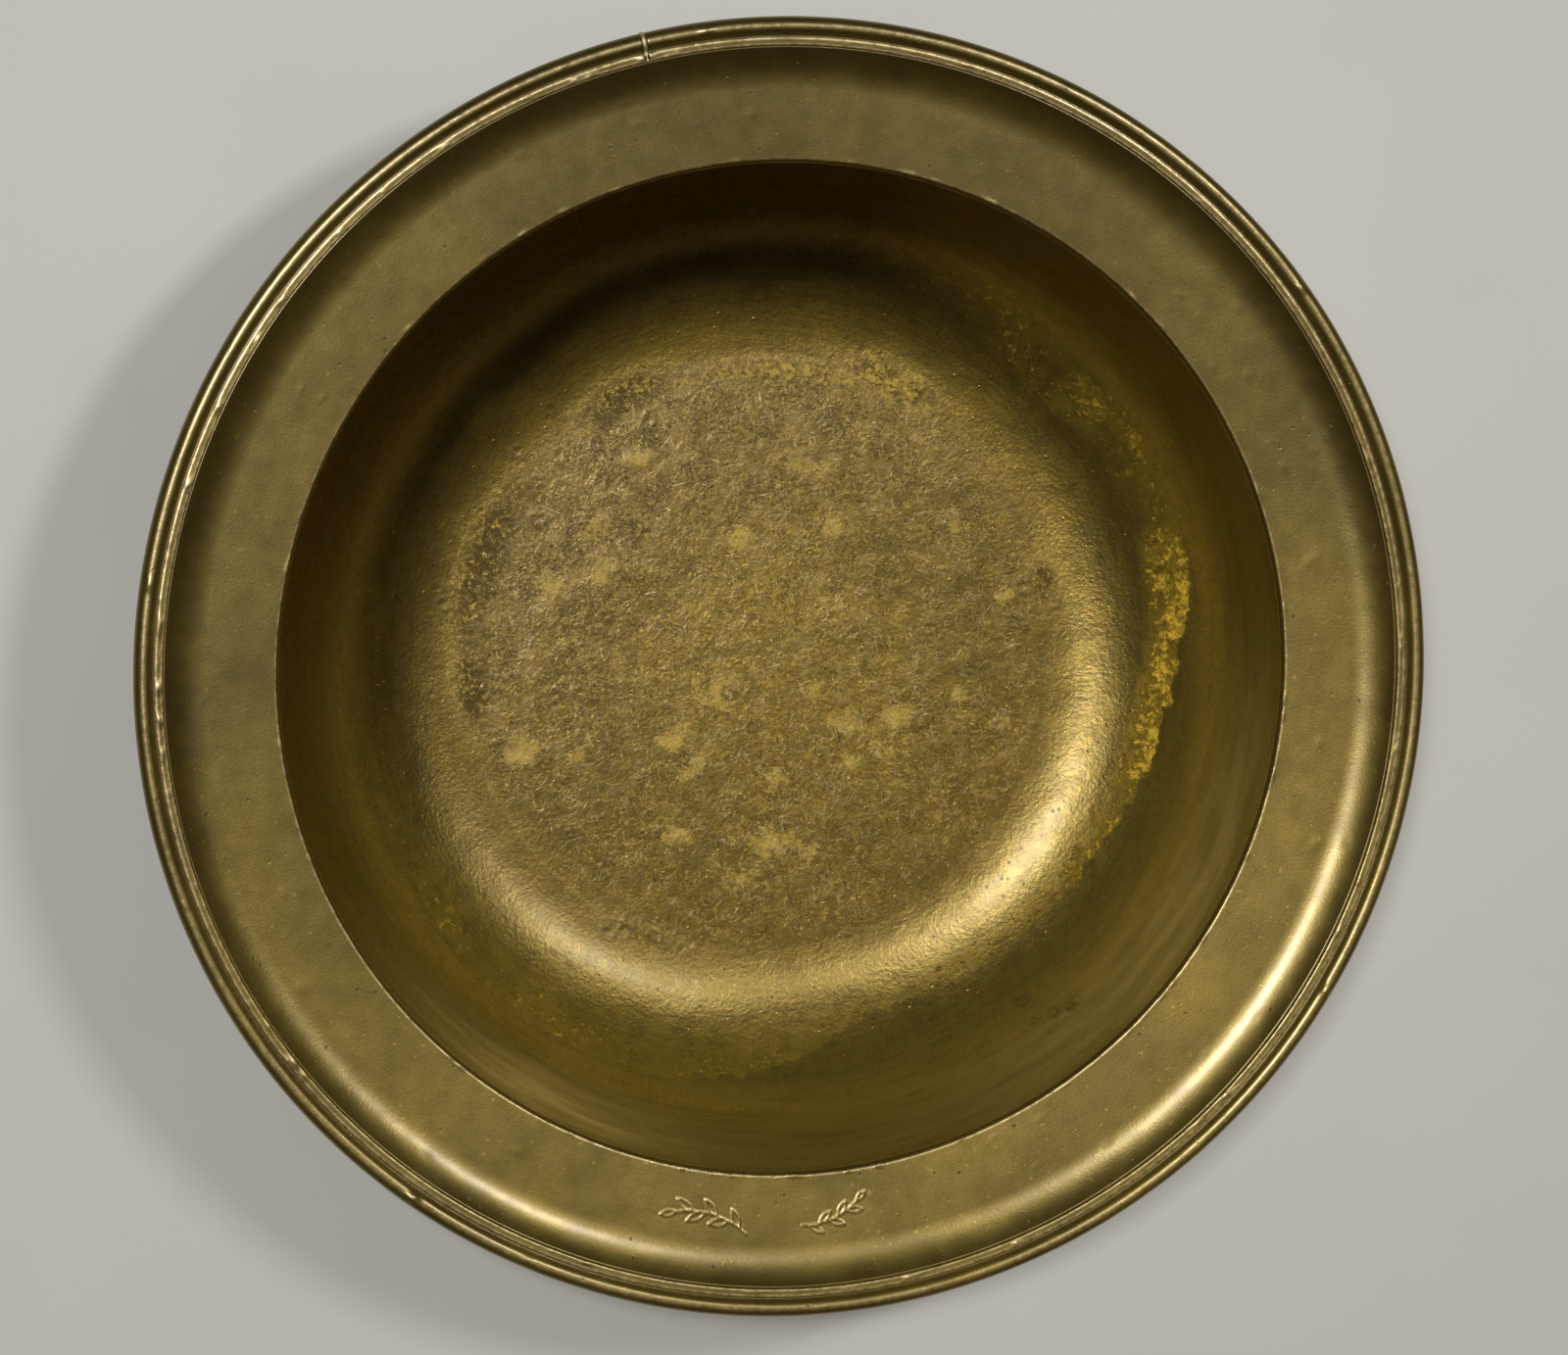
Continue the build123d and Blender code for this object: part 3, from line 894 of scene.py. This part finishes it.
# ---------------------------------------------------------------- edge moulding and its joint
ridge_corner_in = ridge_foot + (ridge_width * ridge_flank_run, ridge_stand * ridge_flank_climb)
ridge_corner_out = ridge_foot + (ridge_width, ridge_stand)
groove_way = np.array((math.cos(bead_groove_angle), math.sin(bead_groove_angle)))
bead_start = bead_centre + bead_radius * groove_way
under_bead = np.array((moulding_seat_radius + bead_radius, edge_bottom))
moulding_section = np.concatenate((
    line((ridge_radius, moulding_seat_top), ridge_foot, 0.4),
    line(ridge_foot, ridge_corner_in, 0.2),
    line(ridge_corner_in, ridge_corner_out, 0.22),
    line(ridge_corner_out, bead_start, 0.22),
    arc(bead_centre, bead_radius, bead_groove_angle, 0, 0.3),
    tangent_arc((outer_radius, bead_centre[1]), under_bead, (0, -1), 0.5),
    line(under_bead, (moulding_seat_radius, edge_bottom), 1.0),
    line((moulding_seat_radius, edge_bottom), (moulding_seat_radius, moulding_seat_top), 1.0),
    line((moulding_seat_radius, moulding_seat_top), (ridge_radius, moulding_seat_top), 1.3),
))
half_gap = moulding_joint_gap / moulding_seat_radius / 2
turns = np.linspace(moulding_joint + half_gap, moulding_joint - half_gap + 2 * math.pi, 1100)
moulding, points, azimuth = ring("reeded_edge", moulding_section, turns, whole=False)
radius = np.hypot(points[:, 0], points[:, 1])
seen = points[:, 2] > moulding_seat_top + 0.3
ends = np.minimum(azimuth - turns[0], turns[-1] - azimuth) * moulding_seat_radius
on_ridge = seen * bump(abs(radius - ridge_radius - ridge_width * 0.55), ridge_width * 0.8)
on_crown = seen * bump(abs(radius - bead_centre[0]), 1.3)
relief = 0.05 * fractal(points, 30, 61) + 0.02 * fractal(points, 5, 62)
relief -= on_ridge * 0.22 * smooth(fractal(points, 4.5, 63), 0.35, 0.7)
relief -= (on_ridge + on_crown) * 0.10 * smooth(fractal(points, 1.7, 64), 0.4, 0.8)
relief -= on_ridge * 0.30 * bump(ends, 2.2)
bead_dents = ((-127, 0.5), (98, 0.35), (37, 0.3), (171, 0.25), (-31, 0.3))   # azimuth, depth
for at, depth in bead_dents:
    off = abs(degrees_from(azimuth, at)) * math.radians(1) * outer_radius
    relief -= seen * on_crown * depth * bump(off, 2.0)
set_points(moulding, points + normals(moulding) * (relief * seen)[:, None])
profile = np.c_[radius, points[:, 2]]
crests = np.maximum(
    bump(np.linalg.norm(profile - ridge_corner_in, axis=1), 0.45),
    bump(np.linalg.norm(profile - ridge_corner_out, axis=1), 0.45),
)
crests = np.maximum(crests, 0.35 * bump(abs(radius - bead_centre[0]), 0.9) * seen)
field(moulding, "wear_and_glint", np.clip(crests * 0.9, 0, 1))
# Grime in the groove, and the outer face of the bead darker.
groove = seen * bump(abs(radius - (ridge_corner_out[0] + bead_start[0]) / 2), 0.6)
field(moulding, "grime_and_painted_shade", np.clip(groove + 0.3 * seen * bump(outer_radius - radius, 1.2), 0, 1))
# Painted shade, the same as on the flange.
field(moulding, "painted_rim_shade", rim_shade_by_azimuth(azimuth))
stand_for(moulding, "edge_moulding", rim_material)

plug_turns = np.linspace(moulding_joint - half_gap, moulding_joint + half_gap, 9)
plug, points, _ = ring("edge_joint_plug", moulding_section, plug_turns, whole=False)
relief = -0.12 * (points[:, 2] > moulding_seat_top + 0.3) * (1 + fractal(points, 0.9, 71))
set_points(plug, points + normals(plug) * relief[:, None])
field(plug, "wear_and_glint", np.full(len(points), 0.5))
stand_for(plug, "edge_joint_solder", solder_material)

# ---------------------------------------------------------------- foot ring and solder runs
foot_outer = floor_radius - foot_inset
foot_inner = foot_outer - foot_top_width
flat_start = foot_inner + foot_edge_round
flat_end = foot_outer + foot_splay - foot_edge_round
foot_section = np.concatenate((
    line((foot_inner, foot_height), (foot_inner, foot_edge_round), 0.5),
    arc((flat_start, foot_edge_round), foot_edge_round, math.pi, 1.5 * math.pi, 0.2),
    line((flat_start, 0), (flat_end, 0), 0.6),
    arc((flat_end, foot_edge_round), foot_edge_round, -math.pi / 2, 0, 0.2),
    line((foot_outer + foot_splay, foot_edge_round), (foot_outer, foot_height), 0.5),
    line((foot_outer, foot_height), (foot_inner, foot_height), 1.0),
))
even_turns = np.linspace(0, 2 * math.pi, TURNS, endpoint=False)
foot, points, _ = ring("turned_foot", foot_section, even_turns)
worn = bump(points[:, 2], 0.8)
free = bump(abs(points[:, 2] - foot_height / 2), foot_height / 2)
set_points(foot, points + normals(foot) * (free * 0.08 * fractal(points, 4, 81))[:, None])
field(foot, "wear_and_glint", worn * 0.8)
stand_for(foot, "foot_ring", foot_material)


def solder_run(name, node, corners, seed):
    """An uneven run of solder: its first side lies on the metal, the rest is free."""
    path = [line(a, b, 0.35) for a, b in zip(corners, corners[1:] + corners[:1])]
    run, points, _ = ring(name, np.concatenate(path), even_turns)
    middle = np.mean(corners, axis=0)
    hidden = corners[0]
    profile = np.c_[np.hypot(points[:, 0], points[:, 1]), points[:, 2]]
    clear = smooth(np.linalg.norm(profile - hidden, axis=1), 0, np.linalg.norm(middle - hidden))
    lumps = 0.10 * fractal(points, 6, seed) + 0.05 * fractal(points, 1.8, seed + 7)
    set_points(run, points + normals(run) * (clear * (lumps - 0.08))[:, None])
    field(run, "wear_and_glint", np.zeros(len(points)))
    stand_for(run, node, solder_material)


solder_run("rim_solder_run", "rim_solder_seam", [
    tuple(corner),
    tuple(corner - rim_seam_leg * wall_way),
    tuple(corner + rim_seam_leg * flange_way),
], 91)
run_half = edge_seam_width / 2
run_bottom = low("edge_solder_seam").z
solder_run("edge_solder_run", "edge_solder_seam", [
    (moulding_seat_radius - run_half, edge_bottom),
    (moulding_seat_radius + run_half, edge_bottom),
    (moulding_seat_radius + run_half - edge_seam_bevel, run_bottom),
    (moulding_seat_radius - run_half + edge_seam_bevel, run_bottom),
], 92)
solder_run("foot_solder_run", "foot_solder_seam", [
    (foot_inner, foot_height),
    (foot_inner - foot_seam_leg, foot_height),
    (foot_inner, foot_height - foot_seam_leg),
], 93)

# ---------------------------------------------------------------- floor, light and camera
FLOOR_SIZE = 6.0
bpy.ops.mesh.primitive_grid_add(x_subdivisions=8, y_subdivisions=8, size=FLOOR_SIZE)
floor = bpy.context.object
floor.name = "studio_floor"
n = Nodes("pale_floor")
floor_dark, floor_light = (0.60, 0.595, 0.58), (0.64, 0.635, 0.62)
floor_tint = n.colour(n.noise(60, 3), floor_dark, floor_light)
floor_relief = [(n.noise(1.5, 3), 0.01)]
floor.data.materials.append(n.finish(floor_tint, 0.0, 0.75, floor_relief))

world = bpy.data.worlds.new("soft_room")
bpy.context.scene.world = world
world.use_nodes = True
background = world.node_tree.nodes["Background"]
background.inputs["Color"].default_value = (1.0, 0.93, 0.80, 1.0)
background.inputs["Strength"].default_value = 0.03


def placed(name, data, at, right, up, back):
    """A lamp or camera at a place, with its own three axes."""
    holder = bpy.data.objects.new(name, data)
    holder.matrix_world = Matrix.Translation(at) @ Matrix((right, up, back)).transposed().to_4x4()
    bpy.context.collection.objects.link(holder)
    return holder


def softbox(name, way, distance, width, length, power, colour):
    """A flat lamp in this direction from the bowl, facing it, its length pointing away from +Z."""
    lamp = bpy.data.lights.new(name, "AREA")
    lamp.shape = "RECTANGLE"
    lamp.size, lamp.size_y = width, length
    lamp.energy = power
    lamp.color = colour
    back = Vector(way).normalized()
    side = Vector((-back.y, back.x, 0)).normalized()
    placed(name, lamp, back * distance, side, back.cross(side), back)


# The two small lamps make the photo's highlights: lamp_left the one at the lower right of the
# bowl, and lamp_right the one at the lower left.
WHITE_LIGHT, AMBER_LIGHT = (1.0, 0.98, 0.94), (1.0, 0.80, 0.30)
softbox("lamp_left", (-0.19, 0.15, 0.97), 1.3, 0.14, 0.24, 8.8, WHITE_LIGHT)
softbox("lamp_right", (0.365, 0.28, 0.887), 1.3, 0.12, 0.20, 4.5, WHITE_LIGHT)
softbox("overhead", (0.16, -0.10, 0.98), 1.7, 1.3, 1.3, 1.5, AMBER_LIGHT)

# The camera looks along the photo's direction, about 11 degrees off the bowl's axis.
CAMERA_DISTANCE = 0.80
camera_way = Vector((-0.1596, 0.1013, 0.0))
camera_way.z = math.sqrt(1 - camera_way.length_squared)
top_centre = Vector((0, 0, cad_high.z))
aim = top_centre + Vector((-0.0029, 0.0002, 0))
camera_data = bpy.data.cameras.new("photo_view")
camera_data.sensor_width = 36.0
camera_data.lens = 85.9
camera_at = top_centre + camera_way * CAMERA_DISTANCE
toward = (aim - camera_at).normalized()
right = toward.cross(Vector((0, 1, 0))).normalized()
camera = placed("photo_view", camera_data, camera_at, right, right.cross(toward), -toward)
bpy.context.scene.camera = camera
bpy.context.scene.view_settings.view_transform = "Standard"
